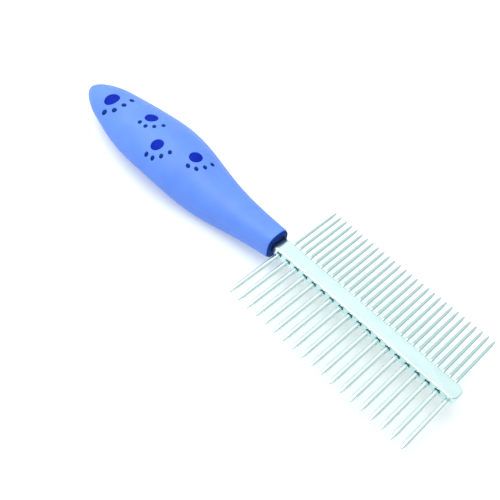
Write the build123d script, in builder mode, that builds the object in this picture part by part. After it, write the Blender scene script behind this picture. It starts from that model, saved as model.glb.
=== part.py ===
import os
from math import cos, pi, radians, sin

from build123d import *

# A double-sided grooming comb, lying flat. +X runs from the handle towards the far end of the
# rail, +Y towards the fine teeth, and +Z up. The origin is on the resting surface, under the
# middle of the overall length and on the rail's centre line. All sizes are in millimetres.

overall_length = 201.0
axis_height = 11.8  # the rail's centre line above the resting surface

# Rail: a flat bar with a narrower tang moulded into the handle
rail_width = 6.8
rail_thickness = 4.2
rail_corner_radius = 2.7
rail_edge_radius = 0.5
tang_width = 5.0
tang_thickness = 3.0
tang_length = 38.0
tang_lock_radius = 1.3
tang_lock_distances = (12.0, 28.0)  # the tang's cross holes, from the handle's mouth

# Teeth: round steel pins pressed into blind holes in the rail's two long edges
tooth_reach = 26.6  # from the rail's edge to the tip, on both sides
pin_depth = 3.0
coarse_count = 19
coarse_pitch = 4.5
coarse_radius = 1.05
coarse_tip_radius = 0.5
coarse_point_length = 4.6
fine_count = 29
fine_pitch = 2.8
fine_radius = 0.62
fine_tip_radius = 0.32
fine_point_length = 4.0
teeth_centre_x = 57.7
fine_shift = -0.7  # the fine row sits a little nearer the handle

# Handle: stations along X from the mouth to the last full one. Each has the half width, half the
# height of the sides, the dome of the top, the section's middle above or below the rail's centre
# line, and the power of the section's superellipse, which is squarer at the mouth.
mouth_x = 13.5
handle_stations = (
    (13.5, 5.5, 6.0, 0.3, -0.3, 3.2),
    (1.0, 6.9, 6.2, 0.8, -1.8, 3.1),
    (-12.0, 8.9, 7.0, 1.5, -3.4, 3.0),
    (-25.0, 11.6, 7.8, 2.4, -3.7, 2.8),
    (-37.0, 13.9, 7.6, 3.2, -2.1, 2.6),
    (-49.0, 14.9, 7.0, 3.6, -0.9, 2.5),
    (-61.0, 14.5, 6.6, 3.5, -1.4, 2.5),
    (-73.0, 12.8, 6.0, 3.0, -1.7, 2.5),
    (-84.5, 10.1, 4.8, 2.2, -1.1, 2.5),
)
under_dome_share = 0.3  # the underside's dome as a share of the top's
butt_round_length = 16.3  # its last section stops just short of this
butt_round_power = 2.4
butt_round_angles = (20.0, 38.0, 54.0, 68.0, 79.0)
section_points = 24
grip_wall = 1.8
flange_thickness = 0.8
flange_step = 0.3
boss_recess = 0.3

# Paw prints: centre, direction of the toes and size of each print on the handle's top
paw_prints = (
    (-83.4, -2.6, -8.0, 1.2),
    (-62.5, 1.2, -45.0, 1.0),
    (-49.6, -6.9, -39.0, 0.94),
    (-34.8, 0.6, -17.0, 1.0),
)
pad_radii = (2.5, 2.85)
toe_radii = (1.0, 0.85)
toe_places = ((2.5, -4.6), (5.0, -2.1), (5.5, 1.5), (4.7, 5.2))

rail_end_x = overall_length / 2
butt_x = -overall_length / 2
cutter_width = 40.0  # wider and deeper than any section of the handle


def section_outline(half_width, side_height, dome, power):
    # Points round the section, from the +Y side upwards: a unit superellipse, whose distance from
    # the middle at each angle is (|cos|^power + |sin|^power)^(-1/power), stretched to the half
    # width and the side height, with the dome added in the middle of the width.
    points = []
    for index in range(section_points):
        angle = 2 * pi * index / section_points
        radius = (abs(cos(angle)) ** power + abs(sin(angle)) ** power) ** (-1 / power)
        across = radius * cos(angle)
        upward = radius * sin(angle)
        crown = dome if upward > 0 else dome * under_dome_share
        points.append((half_width * across, upward * (side_height + crown * (1 - across**2))))
    return points


def handle_sections():
    # The stations, and then the butt's rounding: the last two stations' taper carried on, times
    # an end curve that falls towards nothing at the butt.
    sections = list(handle_stations)
    previous = handle_stations[-2]
    last = handle_stations[-1]
    rise, power = last[4:]
    for angle in butt_round_angles:
        reach = sin(radians(angle))
        end_curve = (1 - reach**butt_round_power) ** 0.5
        carried = butt_round_length * reach / (previous[0] - last[0])
        sizes = [(end - (start - end) * carried) * end_curve for start, end in zip(previous, last)]
        half_width, side_height, dome = sizes[1:4]
        x = last[0] - butt_round_length * reach
        sections.append((x, half_width, side_height, dome, rise, power))
    return sections


def handle_form(inset):
    # The whole handle's outside, drawn in by inset on every side but the mouth.
    length = mouth_x - butt_x
    with BuildPart() as form:
        for x, half_width, side_height, dome, rise, power in handle_sections():
            place = mouth_x - (mouth_x - x) * (length - inset) / length
            plane = Plane(origin=(place, 0, axis_height + rise), x_dir=(0, 1, 0), z_dir=(1, 0, 0))
            draw_in = min(inset, 0.6 * side_height)
            outline = section_outline(half_width - draw_in, side_height - draw_in, dome, power)
            with BuildSketch(plane):
                with BuildLine():
                    Spline(outline, periodic=True)
                make_face()
        loft()
    return form.part


def paw_print_columns():
    # Upright columns with the outlines of the pads and toes, from the centre line past the top.
    with BuildPart() as columns:
        for paw_x, paw_y, turn, size in paw_prints:
            with BuildSketch(Plane.XY.offset(axis_height)):
                with Locations(Location((paw_x, paw_y, 0), (0, 0, turn))):
                    Ellipse(pad_radii[0] * size, pad_radii[1] * size)
                    with Locations(*[(x * size, y * size) for x, y in toe_places]):
                        Ellipse(toe_radii[0] * size, toe_radii[1] * size)
            extrude(amount=2 * axis_height)
    return columns.part


def tooth_places(count, pitch, shift):
    first = teeth_centre_x + shift - pitch * (count - 1) / 2
    return [first + pitch * index for index in range(count)]


def make_tooth(x, side, radius, tip_radius, point_length):
    # A pin turned about its own axis: a straight shank, a long tangent point and a round tip.
    # side is -1 for the coarse edge and +1 for the fine edge.
    foot = side * (rail_width / 2 - pin_depth)
    tip = side * (rail_width / 2 + tooth_reach)
    point_start = tip - side * point_length
    tip_centre = tip - side * tip_radius
    diagonal = tip_radius * cos(pi / 4)
    with BuildPart() as tooth:
        with BuildSketch(Plane.XY.offset(axis_height)):
            with BuildLine():
                Line((x, foot), (x + radius, foot))
                Line((x + radius, foot), (x + radius, point_start))
                TangentArc((x + radius, point_start), (x + tip_radius, tip_centre), tangent=(0, side))
                ThreePointArc(
                    (x + tip_radius, tip_centre),
                    (x + diagonal, tip_centre + side * diagonal),
                    (x, tip),
                )
                Line((x, tip), (x, foot))
            make_face()
        revolve(axis=Axis((x, 0, axis_height), (0, 1, 0)))
    return tooth.part


os.makedirs("parts", exist_ok=True)

coarse_places = tooth_places(coarse_count, coarse_pitch, 0.0)
fine_places = tooth_places(fine_count, fine_pitch, fine_shift)

# Rail: the bar with rounded far corners and eased long edges, the tang with its two cross holes,
# and one blind hole for each pin
with BuildPart() as rail:
    rail_bottom = axis_height - rail_thickness / 2
    with BuildSketch(Plane.XY.offset(rail_bottom)) as bar_outline:
        with Locations(((mouth_x + rail_end_x) / 2, 0)):
            Rectangle(rail_end_x - mouth_x, rail_width)
        fillet(bar_outline.vertices().group_by(Axis.X)[-1], rail_corner_radius)
    extrude(amount=rail_thickness)
    rims = rail.faces().filter_by(Axis.Z).edges()
    fillet(rims.filter_by(lambda rim: rim.center().X > mouth_x + rail_edge_radius), rail_edge_radius)
    with BuildSketch(Plane.XY.offset(axis_height - tang_thickness / 2)):
        with Locations((mouth_x - tang_length / 2, 0)):
            Rectangle(tang_length, tang_width)
        with Locations(*[(mouth_x - distance, 0) for distance in tang_lock_distances]):
            Circle(tang_lock_radius, mode=Mode.SUBTRACT)
    extrude(amount=tang_thickness)
    with BuildSketch(Plane.XZ.offset(rail_width / 2)):
        with Locations(*[(x, axis_height) for x in coarse_places]):
            Circle(coarse_radius)
    extrude(amount=-pin_depth, mode=Mode.SUBTRACT)
    with BuildSketch(Plane.XZ.offset(-rail_width / 2)):
        with Locations(*[(x, axis_height) for x in fine_places]):
            Circle(fine_radius)
    extrude(amount=pin_depth, mode=Mode.SUBTRACT)
rail.part.label = "rail"
export_step(rail.part, "parts/rail.step")

for number, x in enumerate(coarse_places, start=1):
    tooth = make_tooth(x, -1, coarse_radius, coarse_tip_radius, coarse_point_length)
    tooth.label = f"coarse_tooth_{number:02d}"
    export_step(tooth, f"parts/{tooth.label}.step")

for number, x in enumerate(fine_places, start=1):
    tooth = make_tooth(x, 1, fine_radius, fine_tip_radius, fine_point_length)
    tooth.label = f"fine_tooth_{number:02d}"
    export_step(tooth, f"parts/{tooth.label}.step")

# Handle core: the hard inner moulding. It closes round the tang, fills the tang's cross holes,
# ends in a flange at the mouth and carries the bosses that show through the grip as paw prints.
columns = paw_print_columns()
core_form = handle_form(grip_wall)

with BuildPart() as flange:
    add(handle_form(flange_step))
    with Locations((mouth_x - flange_thickness / 2, 0, axis_height)):
        Box(flange_thickness, cutter_width, cutter_width, mode=Mode.INTERSECT)

with BuildPart() as bosses:
    add(handle_form(boss_recess))
    add(columns, mode=Mode.INTERSECT)

with BuildPart() as handle_core:
    add(core_form)
    add(flange.part)
    add(bosses.part)
    add(rail.part, mode=Mode.SUBTRACT)
handle_core.part.label = "handle_core"
export_step(handle_core.part, "parts/handle_core.step")

# Grip: the soft outer moulding, open over the paw prints, cut off flat behind the core's flange
# and given a flat land underneath to rest on
with BuildPart() as grip:
    add(handle_form(0))
    with Locations((mouth_x, 0, axis_height)):
        Box(2 * flange_thickness, cutter_width, cutter_width, mode=Mode.SUBTRACT)
    with Locations((0, 0, -cutter_width / 2)):
        Box(overall_length, cutter_width, cutter_width, mode=Mode.SUBTRACT)
    add(columns, mode=Mode.SUBTRACT)
    add(handle_core.part, mode=Mode.SUBTRACT)
    add(core_form, mode=Mode.SUBTRACT)
grip.part.label = "grip"
export_step(grip.part, "parts/grip.step")
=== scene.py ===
import bmesh
import bpy
import numpy as np
from mathutils import Matrix, Vector


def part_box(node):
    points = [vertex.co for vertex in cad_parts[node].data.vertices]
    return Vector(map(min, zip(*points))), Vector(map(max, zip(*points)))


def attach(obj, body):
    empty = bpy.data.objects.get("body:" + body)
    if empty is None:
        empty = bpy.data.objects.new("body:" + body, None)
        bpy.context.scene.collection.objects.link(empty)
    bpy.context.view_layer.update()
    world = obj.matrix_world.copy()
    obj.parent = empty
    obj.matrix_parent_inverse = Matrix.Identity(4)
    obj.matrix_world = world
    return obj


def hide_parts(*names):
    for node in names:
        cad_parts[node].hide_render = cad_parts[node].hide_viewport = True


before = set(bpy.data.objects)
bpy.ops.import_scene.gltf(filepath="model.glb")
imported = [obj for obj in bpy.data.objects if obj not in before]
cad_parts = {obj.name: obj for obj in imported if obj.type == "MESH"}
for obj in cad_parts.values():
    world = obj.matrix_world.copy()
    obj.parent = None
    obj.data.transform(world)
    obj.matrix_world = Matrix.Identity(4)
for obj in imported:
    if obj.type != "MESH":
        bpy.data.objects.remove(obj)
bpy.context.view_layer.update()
print("frame loaded:", len(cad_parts), "nodes")

# +X runs from the handle to the end of the rail, +Y towards the fine teeth, +Z up.
# Shapes are worked out in millimetres, and their meshes are made in metres.
mm = 0.001
coarseNames = sorted(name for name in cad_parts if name.startswith("coarse_tooth"))
fineNames = sorted(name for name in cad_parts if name.startswith("fine_tooth"))


def boxInMm(node):
    low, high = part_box(node)
    return np.array(low) / mm, np.array(high) / mm


railLow, railHigh = boxInMm("rail")
gripLow, gripHigh = boxInMm("grip")
railLine = (railLow[2] + railHigh[2]) / 2
mouthX = boxInMm("handle_core")[1][0]


class Wire:
    # One output socket of a material. Arithmetic on it adds Math nodes, and node() adds any other.
    def __init__(self, tree, socket=None):
        self.tree = tree
        self.socket = socket

    def node(self, kind, settings, sockets, output=0):
        made = self.tree.nodes.new("ShaderNode" + kind)
        for name, value in settings.items():
            setattr(made, name, value)
        for name, value in sockets.items():
            if isinstance(value, Wire):
                self.tree.links.new(value.socket, made.inputs[name])
            else:
                made.inputs[name].default_value = value
        return Wire(self.tree, made.outputs[output] if made.outputs else None)

    def math(self, operation, first, second=0.0):
        return self.node("Math", {"operation": operation}, {0: first, 1: second})

    def __add__(self, other):
        return self.math("ADD", self, other)

    def __radd__(self, other):
        return self.math("ADD", other, self)

    def __sub__(self, other):
        return self.math("SUBTRACT", self, other)

    def __rsub__(self, other):
        return self.math("SUBTRACT", other, self)

    def __mul__(self, other):
        return self.math("MULTIPLY", self, other)

    def __rmul__(self, other):
        return self.math("MULTIPLY", other, self)

    def __abs__(self):
        return self.math("ABSOLUTE", self)

    def step(self, low, high):
        # 0 below low, 1 above high, and smooth between them
        settings = {"interpolation_type": "SMOOTHSTEP"}
        return self.node("MapRange", settings, {"Value": self, "From Min": low, "From Max": high})

    def amount(self, label):
        # a value that the mesh holds at its corners
        return self.node("Attribute", {"attribute_name": label}, {}, "Fac")

    def mix(self, first, second):
        # first colour where this is 0, second where it is 1
        return self.node("Mix", {"data_type": "RGBA"}, {0: self, 6: first, 7: second}, 2)


def noise(paint, scale, stretch=(1, 1, 1), detail=2.0):
    # soft random pattern on the object's own coordinates; scale is in cells per metre
    place = paint.node("TexCoord", {}, {}, "Object")
    place = paint.node("Mapping", {}, {"Vector": place, "Scale": stretch})
    return paint.node("TexNoise", {}, {"Vector": place, "Scale": scale, "Detail": detail})


def bump(paint, height, distance, strength, under=None):
    # relief over another one if under is given; distance is in metres
    sockets = {"Height": height, "Distance": distance, "Strength": strength}
    if under is not None:
        sockets["Normal"] = under
    return paint.node("Bump", {}, sockets)


def newFinish(name, describe):
    # describe gets a Wire on the new material and returns the Principled sockets it sets
    material = bpy.data.materials.new(name)
    material.use_nodes = True
    material.node_tree.nodes.clear()
    paint = Wire(material.node_tree)
    shader = paint.node("BsdfPrincipled", {}, describe(paint))
    paint.node("OutputMaterial", {}, {"Surface": shader})
    return material


gripFinish = {
    "blue": (0.108, 0.250, 0.820, 1),
    "deepBlue": (0.097, 0.230, 0.790, 1),
    "pitBlue": (0.06, 0.15, 0.55, 1),
    "rubbedBlue": (0.22, 0.36, 0.85, 1),
    "roughness": 0.44,
    "cloudsPerMetre": 130,
    "rubbedPerMetre": 60,
    "pitsPerMetre": 1500,
    "grainPerMetre": 5200,
    "grainDepth": 0.000035,
    "partingHalf": 0.10,  # half width of the moulding line, mm
    "partingDepth": 0.00006,
}


def softGrip(paint):
    clouds = noise(paint, gripFinish["cloudsPerMetre"], detail=3.0)
    grain = noise(paint, gripFinish["grainPerMetre"], detail=1.0)
    pits = noise(paint, gripFinish["pitsPerMetre"], detail=2.0).step(0.62, 0.78)
    seam = abs(paint.amount("aboveMiddle"))
    seamLine = 1 - seam.step(gripFinish["partingHalf"], gripFinish["partingHalf"] * 2.2)
    rubbed = noise(paint, gripFinish["rubbedPerMetre"], stretch=(0.6, 1, 1), detail=4.0)
    rubbed = rubbed.step(0.5, 0.72)
    shade = clouds.step(0.3, 0.75).mix(gripFinish["blue"], gripFinish["deepBlue"])
    shade = (pits * 0.10 + seamLine * 0.25).mix(shade, gripFinish["pitBlue"])
    shade = (rubbed * 0.10).mix(shade, gripFinish["rubbedBlue"])
    height = grain - pits * 0.5
    fine = bump(paint, height, gripFinish["grainDepth"], 0.8)
    return {
        "Base Color": shade,
        "Roughness": gripFinish["roughness"] + grain * 0.10 - rubbed * 0.08,
        "IOR": 1.46,
        "Specular IOR Level": 0.42,
        "Normal": bump(paint, seamLine, gripFinish["partingDepth"], 0.7, fine),
    }


coreFinish = {
    "navy": (0.000, 0.018, 0.400, 1),
    "darkNavy": (0.000, 0.015, 0.300, 1),
    "paintedShadeNavy": (0.000, 0.027, 0.200, 1),  # painted shade on the toes and the flange
    "roughness": 0.50,
    "cloudsPerMetre": 400,
    "scratchesPerMetre": 900,
    "peelPerMetre": 1800,
    "peelDepth": 0.00002,
}


def hardCore(paint):
    clouds = noise(paint, coreFinish["cloudsPerMetre"], detail=2.0)
    scratches = noise(paint, coreFinish["scratchesPerMetre"], stretch=(0.15, 1.6, 1), detail=3.0)
    scratches = scratches.step(0.56, 0.66)
    peel = noise(paint, coreFinish["peelPerMetre"], detail=1.0)
    shade = clouds.step(0.35, 0.7).mix(coreFinish["navy"], coreFinish["darkNavy"])
    return {
        # the toes and the flange get painted shade, a darker navy
        "Base Color": paint.amount("paintedShade").mix(shade, coreFinish["paintedShadeNavy"]),
        "Roughness": coreFinish["roughness"] + scratches * 0.16 + peel * 0.05,
        "IOR": 1.5,
        "Specular IOR Level": 0.07,
        "Normal": bump(paint, peel * 0.5 - scratches * 0.4, coreFinish["peelDepth"], 0.5),
    }


railFinish = {
    "metal": (0.670, 0.865, 0.865, 1),
    "darkMetal": (0.520, 0.700, 0.710, 1),
    "roughness": 0.24,
    "patchesPerMetre": 220,
    "nicksPerMetre": 2600,
    "brushPerMetre": 9000,
    "brushDepth": 0.000012,
}


def satinRail(paint):
    brush = noise(paint, railFinish["brushPerMetre"], stretch=(0.012, 1, 1), detail=3.0)
    patches = noise(paint, railFinish["patchesPerMetre"], stretch=(0.5, 1, 1), detail=3.0)
    nicks = noise(paint, railFinish["nicksPerMetre"], stretch=(0.4, 1, 1), detail=2.0)
    nicks = nicks.step(0.70, 0.78)
    tarnish = patches.step(0.35, 0.75) * 0.35 + nicks * 0.4 + brush.step(0.35, 0.65) * 0.3
    return {
        "Base Color": tarnish.mix(railFinish["metal"], railFinish["darkMetal"]),
        "Metallic": 1.0,
        "Roughness": railFinish["roughness"] + brush * 0.16 + nicks * 0.12,
        "Normal": bump(paint, brush - nicks * 0.6, railFinish["brushDepth"], 0.55),
    }


toothFinish = {
    # bright and worn steel of each row; the fine row's steel is darker
    "coarse": ((0.800, 0.940, 0.935, 1), (0.560, 0.660, 0.660, 1)),
    "fine": ((0.560, 0.765, 0.755, 1), (0.420, 0.550, 0.550, 1)),
    "roughness": 0.20,
    "wearPerMetre": 1400,
    "specksPerMetre": 3200,
    "ringsPerMetre": 9000,
    "ringDepth": 0.000008,
}


def platedSteel(paint, row):
    steel, worn = toothFinish[row]
    rings = noise(paint, toothFinish["ringsPerMetre"], stretch=(0.1, 1, 0.1), detail=2.0)
    specks = noise(paint, toothFinish["specksPerMetre"], detail=2.0).step(0.68, 0.78)
    patches = noise(paint, toothFinish["wearPerMetre"], detail=3.0).step(0.35, 0.6)
    wear = paint.amount("nearTip") * patches
    return {
        "Base Color": (wear * 0.6 + specks * 0.3).mix(steel, worn),
        "Metallic": 1.0,
        "Roughness": toothFinish["roughness"] + rings * 0.08 + wear * 0.14 + specks * 0.1,
        "Normal": bump(paint, rings - specks * 0.5, toothFinish["ringDepth"], 0.5),
    }


finishes = {
    "grip": newFinish("softTouchBlue", softGrip),
    "core": newFinish("mouldedNavy", hardCore),
    "rail": newFinish("satinRail", satinRail),
    "coarse": newFinish("brightSteel", lambda paint: platedSteel(paint, "coarse")),
    "fine": newFinish("darkerSteel", lambda paint: platedSteel(paint, "fine")),
}
print("finishes made")


def pieceFrom(name, points, faceSets, finish, nodes, amounts=None):
    # points has one corner a row, in mm. Each face set has one face a row, as corner numbers.
    # amounts gives each corner a value under an attribute's name. Corners in no face are dropped.
    corners = np.concatenate([faces.ravel() for faces in faceSets])
    sizes = np.concatenate([np.full(len(faces), faces.shape[1]) for faces in faceSets])
    used, corners = np.unique(corners, return_inverse=True)
    mesh = bpy.data.meshes.new(name)
    mesh.vertices.add(len(used))
    mesh.vertices.foreach_set("co", (points[used] * mm).astype(np.float32).ravel())
    mesh.loops.add(len(corners))
    mesh.loops.foreach_set("vertex_index", corners.ravel().astype(np.int32))
    mesh.polygons.add(len(sizes))
    mesh.polygons.foreach_set("loop_start", (np.cumsum(sizes) - sizes).astype(np.int32))
    mesh.update(calc_edges=True)
    mesh.validate()
    for label, values in (amounts or {}).items():
        attribute = mesh.attributes.new(label, "FLOAT", "POINT")
        attribute.data.foreach_set("value", values[used].astype(np.float32))
    outward = bmesh.new()
    outward.from_mesh(mesh)
    bmesh.ops.recalc_face_normals(outward, faces=outward.faces)
    outward.to_mesh(mesh)
    outward.free()
    mesh.shade_smooth()
    mesh.materials.append(finishes[finish])
    piece = bpy.data.objects.new(name, mesh)
    bpy.context.scene.collection.objects.link(piece)
    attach(piece, "root")
    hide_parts(*nodes)
    return piece


def quarterTurn(count):
    # angles from nothing to a right angle
    return np.radians(np.linspace(0, 90, count))


def numbersOf(rings, first=0):
    # the corner numbers of a grid of points, one row for each ring
    return first + np.arange(rings.shape[0] * rings.shape[1]).reshape(rings.shape[:2])


def tubeFaces(ids, closed=True):
    # quads between neighbouring rows of corner numbers; a closed tube also has them from the last
    # column to the first
    if closed:
        ids = np.concatenate([ids, ids[:, :1]], axis=1)
    corners = [ids[:-1, :-1], ids[1:, :-1], ids[1:, 1:], ids[:-1, 1:]]
    return np.stack(corners, axis=-1).reshape(-1, 4)


def ringsToEllipse(border, centre, radii, turn, steps):
    # Rings of corners that lead from a border of any shape to an ellipse, each corner keeping its
    # direction from the centre. A step is (share, outset): share 1 is the border, share 0 is the
    # ellipse with both radii grown by outset, and between them the two places are blended.
    away = border - centre
    along = away @ (np.cos(turn), np.sin(turn))
    across = away @ (-np.sin(turn), np.cos(turn))
    rings = []
    for share, outset in steps:
        scale = 1 / np.hypot(along / (radii[0] + outset), across / (radii[1] + outset))
        rings.append(centre + away * (share + (1 - share) * scale)[:, None])
    return np.array(rings)


def borderOf(ids, top, bottom, left, right):
    # the corner numbers round a block of a grid, in order
    return np.concatenate([
        ids[top, left:right],
        ids[top:bottom, right],
        ids[bottom, right:left:-1],
        ids[bottom:top:-1, left],
    ])


def splineThrough(knots, values, x):
    # Natural cubic spline: between two knots, the straight blend of their values plus a cubic
    # part that makes the bend continuous, with no bend at the two ends.
    count = len(knots)
    gaps = np.diff(knots)
    inner = np.arange(1, count - 1)
    system = np.eye(count)
    system[inner, inner - 1] = gaps[:-1]
    system[inner, inner] = 2 * (gaps[:-1] + gaps[1:])
    system[inner, inner + 1] = gaps[1:]
    wanted = np.zeros(count)
    wanted[1:-1] = 6 * np.diff(np.diff(values) / gaps)
    bends = np.linalg.solve(system, wanted)
    span = np.clip(np.searchsorted(knots, x) - 1, 0, count - 2)
    right = (x - knots[span]) / gaps[span]
    left = 1 - right
    cubic = (left**3 - left) * bends[span] + (right**3 - right) * bends[span + 1]
    return left * values[span] + right * values[span + 1] + cubic * gaps[span] ** 2 / 6


handleShape = {
    # x, half width, half height of the side, dome of the top, middle above the rail's line,
    # squareness
    "stations": np.array([
        (13.5, 5.5, 6.0, 0.3, -0.3, 3.2),
        (1.0, 6.9, 6.2, 0.8, -1.8, 3.1),
        (-12.0, 8.9, 7.0, 1.5, -3.4, 3.0),
        (-25.0, 11.6, 7.8, 2.4, -3.7, 2.8),
        (-37.0, 13.9, 7.6, 3.2, -2.1, 2.6),
        (-49.0, 14.9, 7.0, 3.6, -0.9, 2.5),
        (-61.0, 14.5, 6.6, 3.5, -1.4, 2.5),
        (-73.0, 12.8, 6.0, 3.0, -1.7, 2.5),
        (-84.5, 10.1, 4.8, 2.2, -1.1, 2.5),
    ]),
    "buttPower": 2.4,
    "underDome": 0.3,  # the underside's dome as a share of the top's
    "skin": 0.04,  # the shown surface lies this far inside the solid's
    "least": 0.02,  # smallest half width or height of a section
}


def handleSection(x):
    # Half width, side height, dome, height of the middle and squareness at x. The last taper is
    # carried on to the butt, and the sizes are multiplied by the root of 1 - reach ** power.
    stations = handleShape["stations"]
    buttX = gripLow[0] + handleShape["skin"]
    lastX = stations[-1, 0]
    taper = (stations[-1] - stations[-2]) / (lastX - stations[-2, 0])
    carried = stations[-1] + taper * (buttX - lastX) * (1, 1, 1, 1, 0, 0)
    table = np.vstack([stations, carried])[::-1]
    columns = [splineThrough(table[:, 0], table[:, column], x) for column in range(1, 6)]
    reach = np.clip((lastX - x) / (lastX - buttX), 0, 1)
    close = np.sqrt(1 - reach ** handleShape["buttPower"])
    halfWidth = columns[0] * close - handleShape["skin"]
    sideHeight = columns[1] * close - handleShape["skin"]
    return halfWidth, sideHeight, columns[2] * close, railLine + columns[3], columns[4]


def sectionHeight(across, upward, sideHeight, dome):
    # height over the middle, from the place across and up the unit superellipse; the dome is
    # highest in the middle of the width
    crown = np.where(upward > 0, dome, dome * handleShape["underDome"])
    return upward * (sideHeight + crown * (1 - across**2))


def handleRings(x, inset, angles):
    # Rings round the handle: a unit superellipse, whose distance from the middle at each angle is
    # (|cos| ** power + |sin| ** power) ** (-1 / power), stretched to the section's sizes, drawn in
    # by inset and cut off flat at the resting surface.
    halfWidth, sideHeight, dome, middle, power = (part[:, None] for part in handleSection(x))
    radius = (np.abs(np.cos(angles)) ** power + np.abs(np.sin(angles)) ** power) ** (-1 / power)
    across = radius * np.cos(angles)
    upward = radius * np.sin(angles)
    width = np.maximum(halfWidth - inset[:, None], handleShape["least"]) * across
    sideHeight = np.maximum(sideHeight - inset[:, None], handleShape["least"])
    height = middle + sectionHeight(across, upward, sideHeight, dome)
    return np.stack([x[:, None] + 0 * width, width, np.maximum(height, 0)], axis=-1)


def topHeight(x, y):
    # height of the handle's upper surface over a place
    halfWidth, sideHeight, dome, middle, power = handleSection(x)
    across = y / halfWidth
    upward = (1 - np.abs(across) ** power) ** (1 / power)
    return middle + sectionHeight(across, upward, sideHeight, dome)


pawPrints = {
    # x and y of the pad, direction of the toes in degrees, size
    "places": [
        (-83.4, -2.6, -8.0, 1.2),
        (-62.5, 1.2, -45.0, 1.0),
        (-49.6, -6.9, -39.0, 0.94),
        (-34.8, 0.6, -17.0, 1.0),
    ],
    "pad": (2.5, 2.85),
    "toe": (1.0, 0.85),
    "toePlaces": [(2.5, -4.6), (5.0, -2.1), (5.5, 1.5), (4.7, 5.2)],
    "lip": 0.22,  # radius of the grip's edge round a window
    "margin": 0.15,  # from the lip to the block of faces that the window replaces
    "windowDepth": 0.75,
    "recess": 0.30,  # how far the hard core lies below the grip's surface at its edge
    "crown": 0.13,
    "edge": 0.12,  # rounding of a boss
    "skirtGap": 0.10,  # from a boss's lower end to the window's floor
    "gap": 0.03,
    "padCorners": 64,
    "toeCorners": 36,
}


def pawEllipses(place):
    # centre, radii and turn of a print's pad and its four toes
    x, y, degrees, size = place
    turn = np.radians(degrees)
    ahead = np.array((np.cos(turn), np.sin(turn)))
    aside = np.array((-np.sin(turn), np.cos(turn)))
    middle = np.array((x, y))
    ellipses = [(middle, np.array(pawPrints["pad"]) * size, turn)]
    for along, across in pawPrints["toePlaces"]:
        centre = middle + (along * ahead + across * aside) * size
        ellipses.append((centre, np.array(pawPrints["toe"]) * size, turn))
    return ellipses


gripShape = {
    "ringStep": 0.38,
    "around": 208,
    "rim": 0.35,  # rounding of the front rim
    "frontWall": 1.4,
    "buttRings": 40,
}


def makeGrip():
    # Rings from the front wall to the butt. Over each pad and toe a block of the grid's faces is
    # left out, and rings lead from its border over a rounded lip down into a window.
    shape = gripShape
    angles = np.linspace(0, 2 * np.pi, shape["around"], endpoint=False)
    frontX = gripHigh[0]
    rim = shape["rim"]
    lastX = handleShape["stations"][-1, 0]
    buttLength = lastX - gripLow[0] - handleShape["skin"]
    curl = quarterTurn(7)
    bodyX = np.arange(frontX - rim - shape["ringStep"], lastX, -shape["ringStep"])
    buttX = lastX - buttLength * np.sin(np.radians(np.linspace(0, 89, shape["buttRings"])))
    # the front wall, the rounded rim, the length of the grip and the rounded butt
    x = np.concatenate([[frontX], frontX - rim + rim * np.cos(curl), bodyX, buttX])
    inset = np.concatenate([[shape["frontWall"]], rim - rim * np.sin(curl), 0 * bodyX, 0 * buttX])
    rings = handleRings(x, inset, angles)
    ids = numbersOf(rings)
    shown = np.ones((len(x) - 1, len(angles)), bool)
    pointSets = [rings.reshape(-1, 3)]
    faceSets = [ids[:1], ids[-1:]]
    count = ids.size
    lip = pawPrints["lip"]
    clear = lip + pawPrints["margin"]
    upperHalf = len(angles) // 2  # this part of a ring runs over the top from +y to -y
    roll = quarterTurn(6)
    steps = [(0.6, lip), (0.25, lip)] + [(0, lip * (1 - np.sin(turn))) for turn in roll] + [(0, 0)]
    depths = np.concatenate([[0, 0], lip * (1 - np.cos(roll)), [pawPrints["windowDepth"]]])
    for place in pawPrints["places"]:
        for centre, radii, turn in pawEllipses(place):
            reachX = np.hypot(radii[0] * np.cos(turn), radii[1] * np.sin(turn)) + clear
            reachY = np.hypot(radii[0] * np.sin(turn), radii[1] * np.cos(turn)) + clear
            top = np.flatnonzero(x > centre[0] + reachX)[-1]
            bottom = np.flatnonzero(x < centre[0] - reachX)[0]
            blockY = rings[top:bottom + 1, :upperHalf, 1]
            left = np.flatnonzero(blockY.min(axis=0) > centre[1] + reachY)[-1]
            right = np.flatnonzero(blockY.max(axis=0) < centre[1] - reachY)[0]
            shown[top:bottom, left:right] = False
            border = borderOf(ids, top, bottom, left, right)
            flat = ringsToEllipse(pointSets[0][border][:, :2], centre, radii, turn, steps)
            height = topHeight(flat[..., 0], flat[..., 1]) - depths[:, None]
            pointSets.append(np.dstack([flat, height]).reshape(-1, 3))
            window = numbersOf(flat, count)
            faceSets += [tubeFaces(np.vstack([border, window])), window[-1:]]
            count += window.size
    faceSets.append(tubeFaces(ids).reshape(*shown.shape, 4)[shown])
    points = np.vstack(pointSets)
    amounts = {"aboveMiddle": points[:, 2] - handleSection(points[:, 0])[3]}
    return pieceFrom("softGrip", points, faceSets, "grip", ["grip"], amounts)


makeGrip()
print("grip made")


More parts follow.
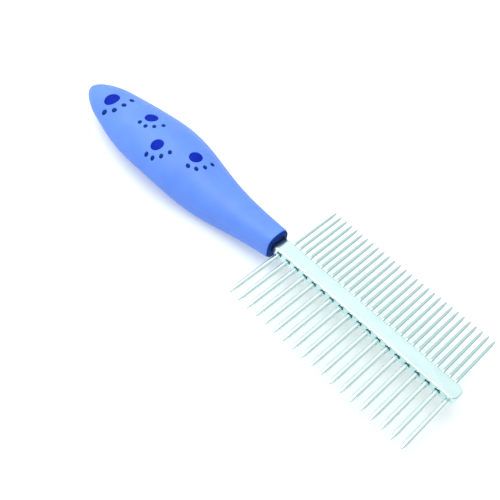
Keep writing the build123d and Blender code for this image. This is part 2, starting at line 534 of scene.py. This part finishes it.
def makePawPrint(number, place):
    # The core's bosses in the windows of one print. Each is a low dome with a rounded edge and a
    # skirt: rings of a growing share of the ellipse, their drop under the grip's surface falling
    # by the crown times 1 - share ** 4 towards the middle.
    roll = np.radians(np.linspace(15, 90, 5))
    edge = pawPrints["edge"]
    pointSets, faceSets, paintedShade = [], [], []
    count = 0
    for index, (centre, radii, turn) in enumerate(pawEllipses(place)):
        isToe = index > 0
        around = pawPrints["toeCorners" if isToe else "padCorners"]
        spread = np.linspace(0, 2 * np.pi, around, endpoint=False)
        dome = np.linspace(0.12, 1, 8)
        outset = np.concatenate([0 * dome - edge, edge * (np.sin(roll) - 1), [0]])
        outset -= pawPrints["gap"]
        share = np.concatenate([dome, np.ones(len(roll) + 1)])
        drop = pawPrints["recess"] - pawPrints["crown"] * (1 - share**4)
        drop[len(dome):-1] += edge * (1 - np.cos(roll))
        drop[-1] = pawPrints["windowDepth"] - pawPrints["skirtGap"]
        along = (radii[0] + outset)[:, None] * share[:, None] * np.cos(spread)
        across = (radii[1] + outset)[:, None] * share[:, None] * np.sin(spread)
        x = centre[0] + along * np.cos(turn) - across * np.sin(turn)
        y = centre[1] + along * np.sin(turn) + across * np.cos(turn)
        pointSets.append(np.dstack([x, y, topHeight(x, y) - drop[:, None]]).reshape(-1, 3))
        ids = numbersOf(x, count)
        faceSets += [ids[:1], ids[-1:], tubeFaces(ids)]
        # the toes get painted shade, the pad none
        paintedShade.append(np.full(ids.size, float(isToe)))
        count += ids.size
    name = "pawPrint" + str(number)
    amounts = {"paintedShade": np.concatenate(paintedShade)}
    return pieceFrom(name, np.vstack(pointSets), faceSets, "core", ["handle_core"], amounts)


for number, place in enumerate(pawPrints["places"], start=1):
    makePawPrint(number, place)
print("paw prints made")

flangeShape = {
    "inset": 0.30,
    "overlap": 0.10,  # how far its wall goes back into the grip
    "rounding": 0.28,
    "slotGap": 0.10,
    "slotSquareness": 10.0,
    "slotEdge": 0.18,
    "slotDepth": 0.75,
    "dish": 0.06,
    "around": 160,
}


def makeFlange():
    # The core's face at the mouth. Its rings lead from the handle's section to the slot round the
    # rail, and in between a ring is a blend of the two, pushed back a little in the middle.
    shape = flangeShape
    angles = np.linspace(0, 2 * np.pi, shape["around"], endpoint=False)
    curl = quarterTurn(6)
    turnIn = quarterTurn(5)
    rounding = shape["rounding"]
    back = gripHigh[0] - shape["overlap"]
    # outer wall and rounded edge
    x = np.concatenate([[back], mouthX - rounding + rounding * np.sin(curl)])
    inset = shape["inset"] + np.concatenate([[0], rounding * (1 - np.cos(curl))])
    outer = handleRings(x, inset, angles)
    # slot round the rail
    edge = shape["slotEdge"]
    halfWidth = railHigh[1] + shape["slotGap"]
    halfThickness = (railHigh[2] - railLow[2]) / 2 + shape["slotGap"]
    power = shape["slotSquareness"]
    rings = []
    for grow in np.concatenate([edge * (1 - np.sin(turnIn)), [0]]):
        across = np.abs(np.cos(angles) / (halfWidth + grow)) ** power
        upward = np.abs(np.sin(angles) / (halfThickness + grow)) ** power
        radius = (across + upward) ** (-1 / power)
        rings.append(np.stack([0 * radius, radius * np.cos(angles), radius * np.sin(angles)], -1))
    slot = np.array(rings)
    depths = np.concatenate([edge * (1 - np.cos(turnIn)), [shape["slotDepth"]]])
    slot[..., 0] = mouthX - depths[:, None]
    slot[..., 2] += railLine
    share = np.linspace(0, 1, 8)[1:-1, None, None]
    face = outer[-1] * (1 - share) + slot[0] * share
    face[..., 0] -= shape["dish"] * np.sin(np.pi * share[..., 0]) ** 0.5
    rings = np.concatenate([outer, face, slot])
    ids = numbersOf(rings)
    faceSets = [ids[:1], ids[-1:], tubeFaces(ids)]
    points = rings.reshape(-1, 3)
    # the whole flange gets painted shade
    amounts = {"paintedShade": np.ones(len(points))}
    return pieceFrom("coreFlange", points, faceSets, "core", ["handle_core"], amounts)


makeFlange()
print("flange made")

railShape = {
    "cornerRadius": 2.7,
    "edgeRadius": 0.5,
    "seatLip": 0.24,  # how much wider than the pin the worn mouth of its hole is
    "seatDepth": 0.30,
    "seatPower": 1.6,  # a hole's mouth steepens inwards by this power
    "seatGap": 0.01,
    "faceBorder": 0.15,  # ring of faces inside the rounded edge
    "blockHalf": 1.42,  # half the block of wall round a coarse pin, and its half height
    "fineBlockHalf": 1.05,
    "blockSteps": 8,
    "insideFlange": 0.6,
}


def pinRow(names, blockHalf, straightEnd):
    # Middles of the pins that stand clear of the rounded end, their radius, and places along the
    # rail: evenly across the block of wall round each pin, and the two ends of the straight edge.
    boxes = np.array([boxInMm(name) for name in names])
    middles = boxes[:, :, 0].mean(axis=1)
    middles = middles[middles + blockHalf < straightEnd]
    offsets = np.linspace(-blockHalf, blockHalf, railShape["blockSteps"] + 1)
    blocks = (middles[:, None] + offsets).ravel()
    places = np.concatenate([[mouthX - railShape["insideFlange"]], blocks, [straightEnd]])
    return middles, (boxes[0, 1, 0] - boxes[0, 0, 0]) / 2, places


def railPlan(coarsePlaces, finePlaces, straightEnd):
    # The outline in plan and its outward directions, walked from the slot along the coarse edge,
    # round the end's two corners and back along the fine edge. The rows are x, y and the x and y
    # of the direction.
    radius = railShape["cornerRadius"]
    halfWidth = railHigh[1]
    inner = halfWidth - radius
    arc = quarterTurn(11)[1:-1]
    sweep, fall = np.sin(arc), np.cos(arc)
    endX = np.full(2, railHigh[0])
    flat = [0 * coarsePlaces, 0 * finePlaces]
    firstX, lastX = straightEnd + radius * sweep, straightEnd + radius * fall
    firstY, lastY = -inner - radius * fall, inner + radius * sweep
    return np.stack([
        np.concatenate([coarsePlaces, firstX, endX, lastX, finePlaces[::-1]]),
        np.concatenate([flat[0] - halfWidth, firstY, [-inner, inner], lastY, flat[1] + halfWidth]),
        np.concatenate([flat[0], sweep, [1, 1], fall, flat[1]]),
        np.concatenate([flat[0] - 1, -fall, [0, 0], sweep, flat[1] + 1]),
    ])


def makeRail():
    # The outline in plan, times a profile of insets and heights from the lower face to the upper
    # one. Blocks of the wall are opened round the pins and led to countersunk holes.
    shape = railShape
    halfWidth = railHigh[1]
    halfThickness = (railHigh[2] - railLow[2]) / 2
    straightEnd = railHigh[0] - shape["cornerRadius"]
    steps = shape["blockSteps"]
    coarseMiddles, coarseRadius, coarsePlaces = pinRow(coarseNames, shape["blockHalf"], straightEnd)
    fineMiddles, fineRadius, finePlaces = pinRow(fineNames, shape["fineBlockHalf"], straightEnd)
    planX, planY, outX, outY = railPlan(coarsePlaces, finePlaces, straightEnd)
    edge = shape["edgeRadius"]
    curl = quarterTurn(7)
    lowerInset = np.concatenate([[edge + shape["faceBorder"]], edge * (1 - np.sin(curl))])
    lowerHeight = np.concatenate([[0], edge * (1 - np.cos(curl))]) - halfThickness
    wall = np.linspace(-shape["blockHalf"], shape["blockHalf"], steps + 1)
    inset = np.concatenate([lowerInset, 0 * wall, lowerInset[::-1]])[:, None]
    height = np.concatenate([lowerHeight, wall, -lowerHeight[::-1]])[:, None]
    columns = [planX - inset * outX, planY - inset * outY, railLine + height + 0 * planX]
    rings = np.stack(columns, axis=-1)
    ids = numbersOf(rings)
    shown = np.ones((rings.shape[0] - 1, rings.shape[1] - 1), bool)
    pointSets = [rings.reshape(-1, 3)]
    hiddenEnd = np.concatenate([ids[:, 0], ids[::-1, -1]])[None]
    faceSets = [ids[:1], ids[-1:], hiddenEnd]
    count = ids.size
    top = len(lowerInset)
    bottom = top + steps
    lip = shape["seatLip"]
    sink = np.linspace(0, 1, 4)
    seatSteps = [(0.5, lip)] + [(0, lip * (1 - share)) for share in sink]
    depths = np.concatenate([[0], shape["seatDepth"] * sink ** shape["seatPower"]])[:, None]
    rows = [(-1, coarseMiddles, coarseRadius), (1, fineMiddles, fineRadius)]
    for side, middles, pinRadius in rows:
        radii = np.full(2, pinRadius + shape["seatGap"])
        for index, middle in enumerate(middles):
            left = 1 + (steps + 1) * index
            if side > 0:
                left = rings.shape[1] - 1 - steps - left
            shown[top:bottom, left:left + steps] = False
            border = borderOf(ids, top, bottom, left, left + steps)
            wallPlaces = pointSets[0][border][:, [0, 2]]
            centre = np.array((middle, railLine))
            hole = ringsToEllipse(wallPlaces, centre, radii, 0.0, seatSteps)
            y = side * (halfWidth - depths) + 0 * hole[..., 0]
            pointSets.append(np.dstack([hole[..., 0], y, hole[..., 1]]).reshape(-1, 3))
            seat = numbersOf(y, count)
            faceSets += [tubeFaces(np.vstack([border, seat])), seat[-1:]]
            count += seat.size
    faceSets.append(tubeFaces(ids, closed=False).reshape(*shown.shape, 4)[shown])
    return pieceFrom("toothRail", np.vstack(pointSets), faceSets, "rail", ["rail"])


makeRail()
print("rail made")

toothShape = {
    # tip radius and length of the point; the shank's radius and ends come from the solid
    "coarse": {"tip": 0.50, "point": 4.6, "around": 28},
    "fine": {"tip": 0.32, "point": 4.0, "around": 22},
    "hidden": 1.2,  # how far the shown pin reaches into the rail
    "wearLength": 7.0,
}


def makeTooth(node, kind, side):
    # A turned pin: a straight shank, then an arc that leaves it along the axis and ends at the
    # tip's radius, then a quarter circle. The arc turns by twice the angle whose tangent is the
    # drop in radius over the arc's length.
    shape = toothShape[kind]
    low, high = boxInMm(node)
    middle = (low[0] + high[0]) / 2
    radius = (high[0] - low[0]) / 2
    tip = side * (high[1] if side > 0 else low[1])
    root = railHigh[1] - toothShape["hidden"]
    pointStart = tip - shape["point"]
    arcLength = shape["point"] - shape["tip"]
    turn = 2 * np.arctan((radius - shape["tip"]) / arcLength)
    bend = arcLength / np.sin(turn)
    along = turn * np.linspace(0, 1, 12)[1:]
    curl = np.radians(np.linspace(0, 82, 7))[1:]
    shank = np.linspace(root, pointStart, 8)
    roundReach = tip - shape["tip"] * (1 - np.sin(curl))
    reach = np.concatenate([shank, pointStart + bend * np.sin(along), roundReach])
    pointWidth = radius - bend * (1 - np.cos(along))
    width = np.concatenate([shank * 0 + radius, pointWidth, shape["tip"] * np.cos(curl)])
    angles = np.linspace(0, 2 * np.pi, shape["around"], endpoint=False)
    x = middle + width[:, None] * np.cos(angles)
    y = side * reach[:, None] + 0 * x
    z = railLine + width[:, None] * np.sin(angles)
    points = np.vstack([np.dstack([x, y, z]).reshape(-1, 3), [(middle, side * tip, railLine)]])
    ids = numbersOf(x)
    cap = np.stack([ids[-1], np.roll(ids[-1], -1), np.full(len(angles), x.size)], axis=1)
    wear = np.clip(1 - (tip - reach) / toothShape["wearLength"], 0, 1)
    amounts = {"nearTip": np.append(wear.repeat(len(angles)), 1.0)}
    name = node.replace("_tooth_", "Tooth")
    return pieceFrom(name, points, [ids[:1], tubeFaces(ids), cap], kind, [node], amounts)


for node in coarseNames:
    makeTooth(node, "coarse", -1)
for node in fineNames:
    makeTooth(node, "fine", 1)
print("teeth made:", len(coarseNames), "coarse,", len(fineNames), "fine")

studio = {
    "floorSize": 6.0,
    "floorColour": (0.70, 0.73, 0.73, 1),
    "fibreColour": (0.62, 0.66, 0.67, 1),
    "fibresPerMetre": 900,
    "fibreDepth": 0.00003,
    "floorGlow": 0.27,  # light the floor gives off itself, which thins the shadows
    "glowColour": (0.94, 1.0, 1.0, 1),
    "skyTop": 1.00,
    "skyHorizon": 0.64,
    "skyRise": 0.6,  # how far up the sky reaches its full strength
    "skyShade": 0.36,  # how much darker the sky is on the side past the end of the rail
    "aim": (0.0, 0.0, 0.01),
    # name, place, size and power of each soft light
    "lights": [
        ("keyLight", (-0.25, -0.10, 0.90), 0.85, 6.0),
        ("fillLight", (-0.75, 0.10, 0.55), 0.70, 1.0),
    ],
}


def paleFloor(paint):
    fibre = noise(paint, studio["fibresPerMetre"], detail=3.0)
    return {
        "Base Color": (fibre * 0.03).mix(studio["floorColour"], studio["fibreColour"]),
        "Roughness": 0.6 + fibre * 0.1,
        "Specular IOR Level": 0.2,
        "Emission Color": studio["glowColour"],
        "Emission Strength": studio["floorGlow"],
        "Normal": bump(paint, fibre, studio["fibreDepth"], 0.2),
    }


def makeFloor():
    half = studio["floorSize"] / 2
    corners = [(-half, -half, 0), (half, -half, 0), (half, half, 0), (-half, half, 0)]
    mesh = bpy.data.meshes.new("floor")
    mesh.from_pydata(corners, [], [(0, 1, 2, 3)])
    mesh.materials.append(newFinish("paleFloor", paleFloor))
    floor = bpy.data.objects.new("floor", mesh)
    bpy.context.scene.collection.objects.link(floor)


def makeLights():
    for name, place, size, power in studio["lights"]:
        data = bpy.data.lights.new(name, "AREA")
        data.size = size
        data.energy = power
        light = bpy.data.objects.new(name, data)
        light.location = place
        toAim = Vector(studio["aim"]) - Vector(place)
        light.rotation_euler = toAim.to_track_quat("-Z", "Y").to_euler()
        bpy.context.scene.collection.objects.link(light)


def makeSky():
    # strength rises from the horizon upwards, and is lower on the +X side
    world = bpy.data.worlds.new("studioSky")
    world.use_nodes = True
    world.node_tree.nodes.clear()
    sky = Wire(world.node_tree)
    direction = sky.node("TexCoord", {}, {}, "Generated")
    aside = sky.node("SeparateXYZ", {}, {"Vector": direction}, "X")
    upward = sky.node("SeparateXYZ", {}, {"Vector": direction}, "Z")
    gain = studio["skyTop"] - studio["skyHorizon"]
    strength = upward.step(0.0, studio["skyRise"]) * gain + studio["skyHorizon"]
    strength = strength * (1 - aside.step(0.1, 0.8) * studio["skyShade"])
    light = sky.node("Background", {}, {"Color": (1, 1, 1, 1), "Strength": strength})
    sky.node("OutputWorld", {}, {"Surface": light})
    bpy.context.scene.world = world


makeFloor()
makeLights()
makeSky()

view = {
    # the camera's place from the first coarse tooth on the rail's line, in metres, and the
    # directions of its right, its top and its back
    "from": (0.09827, -0.15974, 0.23362),
    "right": (0.70156, 0.70122, 0.12691),
    "up": (-0.61499, 0.50579, 0.60495),
    "back": (0.36001, -0.50246, 0.78608),
    "lens": 56.17,
    "sensor": 36.0,
}


def makeCamera():
    low, high = boxInMm(coarseNames[0])
    data = bpy.data.cameras.new("viewCamera")
    data.lens = view["lens"]
    data.sensor_width = view["sensor"]
    data.clip_start = 0.01
    camera = bpy.data.objects.new("viewCamera", data)
    turn = Matrix((view["right"], view["up"], view["back"])).transposed()
    origin = Vector(((low[0] + high[0]) / 2 * mm, 0, railLine * mm))
    camera.matrix_world = Matrix.Translation(origin + Vector(view["from"])) @ turn.to_4x4()
    bpy.context.scene.collection.objects.link(camera)
    bpy.context.scene.camera = camera


makeCamera()
bpy.context.scene.view_settings.view_transform = "Standard"
print("studio and camera made")
